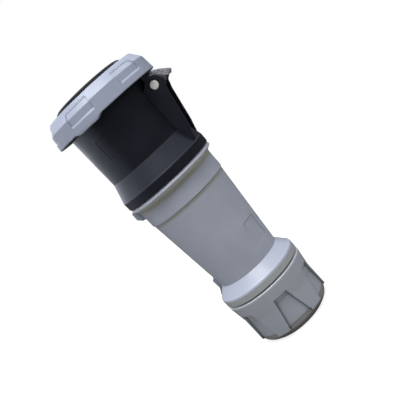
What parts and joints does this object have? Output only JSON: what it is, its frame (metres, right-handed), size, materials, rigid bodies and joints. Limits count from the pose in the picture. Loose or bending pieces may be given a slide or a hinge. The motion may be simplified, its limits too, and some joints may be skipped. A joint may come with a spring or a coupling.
{
  "type": "industrial power coupler",
  "caption": "Round industrial power coupler with a hinged bayonet lid, socket collar, tapered rear housing and a cable gland nut.",
  "frame": {"origin": "centre of the cable opening, in the plane of the gland's end face that the part stands on", "axes": "+Z along the coupler's axis from the gland to the lid, +X towards the lid's hinge"},
  "size_m": [0.1381, 0.1266, 0.3273],
  "materials": {
    "grey_housing": "fine moulded texture",
    "black_housing": "satin",
    "ring_plastic": "satin",
    "cap_plastic": "gloss",
    "lid_plastic": "satin",
    "nut_plastic": "fine moulded texture",
    "latch_plastic": "satin",
    "insert_plastic": "matt",
    "seal_rubber": "matt",
    "contact_brass": "turned",
    "screw_steel": "brushed"
  },
  "bodies": {
    "housing": {"rear_housing": "grey_housing", "front_housing": "black_housing", "housing_seal": "seal_rubber", "contact_carrier": "insert_plastic", "carrier_plate": "insert_plastic", "contact_l1": "contact_brass", "contact_l2": "contact_brass", "contact_l3": "contact_brass", "contact_neutral": "contact_brass", "contact_earth": "contact_brass", "contact_pilot": "contact_brass", "terminal_screws": "screw_steel", "carrier_screws": "screw_steel", "hinge_pin": "screw_steel", "lid_spring": "screw_steel", "neck_seal": "seal_rubber"},
    "lid": {"lid_body": "lid_plastic", "lid_cap": "cap_plastic", "lid_screws": "screw_steel", "lid_seal": "seal_rubber", "ring_glide": "insert_plastic"},
    "ring": {"bayonet_ring": "ring_plastic"},
    "gland_pack": {"gland_seal": "seal_rubber", "clamp_claw": "insert_plastic", "thrust_washer": "insert_plastic"},
    "nut": {"gland_nut": "nut_plastic", "end_ring": "seal_rubber"},
    "latch": {"housing_latch": "latch_plastic"},
    "lock": {"nut_lock": "latch_plastic"}
  },
  "joints": [
    {"name": "lid_swing", "type": "hinge", "parent": "housing", "child": "lid", "pos_m": [0.0552, 0, 0.281], "axis": [0, 1, 0], "range_deg": [0, 95], "stiffness_Nm_per_rad": 0.2, "springref_deg": -28.65},
    {"name": "ring_turn", "type": "hinge", "parent": "lid", "child": "ring", "pos_m": [0, 0, 0.305], "axis": [0, 0, -1], "range_deg": [0, 29]},
    {"name": "gland_travel", "type": "slide", "parent": "housing", "child": "gland_pack", "axis": [0, 0, -1], "range_m": [0, 0.0061]},
    {"name": "nut_turn", "type": "hinge", "parent": "gland_pack", "child": "nut", "pos_m": [0, 0, 0.03], "axis": [0, 0, -1], "range_deg": [0, 720]},
    {"name": "latch_slide", "type": "slide", "parent": "housing", "child": "latch", "axis": [0, 0, -1], "range_m": [0, 0.004], "stiffness_N_per_m": 200, "springref_m": -0.002},
    {"name": "lock_slide", "type": "slide", "parent": "housing", "child": "lock", "axis": [0, 0, -1], "range_m": [0, 0.0035]}
  ],
  "couplings": [
    {"joint": "gland_travel", "follows": "nut_turn", "m_per_rad": 0.00047746}
  ]
}
